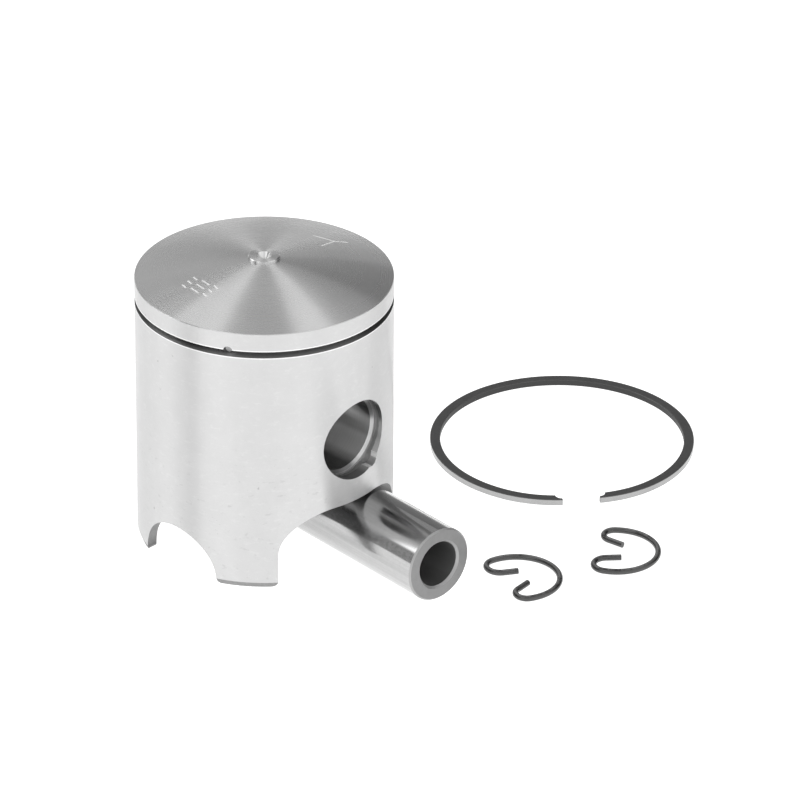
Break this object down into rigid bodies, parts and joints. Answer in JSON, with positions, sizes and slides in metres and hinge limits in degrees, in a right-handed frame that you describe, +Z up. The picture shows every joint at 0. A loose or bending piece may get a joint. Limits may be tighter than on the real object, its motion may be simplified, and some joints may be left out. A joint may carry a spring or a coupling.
{
  "type": "two-stroke piston kit",
  "caption": "Single-ring two-stroke piston standing on its skirt, with its wrist pin, split piston ring and two wire pin clips laid out ready to fit.",
  "frame": {"origin": "on the piston's axis, on the surface that the skirt and all the loose pieces rest on", "axes": "+Z up along the piston's axis towards the crown; +X along the wrist pin bore, towards the side where the loose wrist pin lies; +Y towards the exhaust side, -Y towards the intake arch"},
  "size_m": [0.0728, 0.0932, 0.0474],
  "materials": {
    "aluminium_casting": "cast, with turned crown, skirt and groove",
    "peg_steel": "plain steel",
    "ring_iron": "dark phosphated sides, bright ground outside",
    "pin_steel": "ground and polished outside, satin ends",
    "spring_wire": "dark drawn spring wire"
  },
  "bodies": {
    "piston": {"piston_casting": "aluminium_casting", "ring_peg": "peg_steel"},
    "wrist_pin": {"wrist_pin": "pin_steel"},
    "piston_ring": {"piston_ring": "ring_iron"},
    "circlip_front": {"circlip_front": "spring_wire"},
    "circlip_rear": {"circlip_rear": "spring_wire"}
  },
  "joints": [
    {"name": "wrist_pin_draw_out", "type": "slide", "parent": "piston", "child": "wrist_pin", "axis": [0.9949, -0.1011, 0], "range_m": [0, 0.035]},
    {"name": "piston_ring_lift", "type": "slide", "parent": "piston", "child": "piston_ring", "axis": [0, 0, 1], "range_m": [0, 0.04]},
    {"name": "circlip_front_lift", "type": "slide", "parent": "piston", "child": "circlip_front", "axis": [0, 0, 1], "range_m": [0, 0.0222]},
    {"name": "circlip_rear_lift", "type": "slide", "parent": "piston", "child": "circlip_rear", "axis": [0, 0, 1], "range_m": [0, 0.0222]}
  ]
}
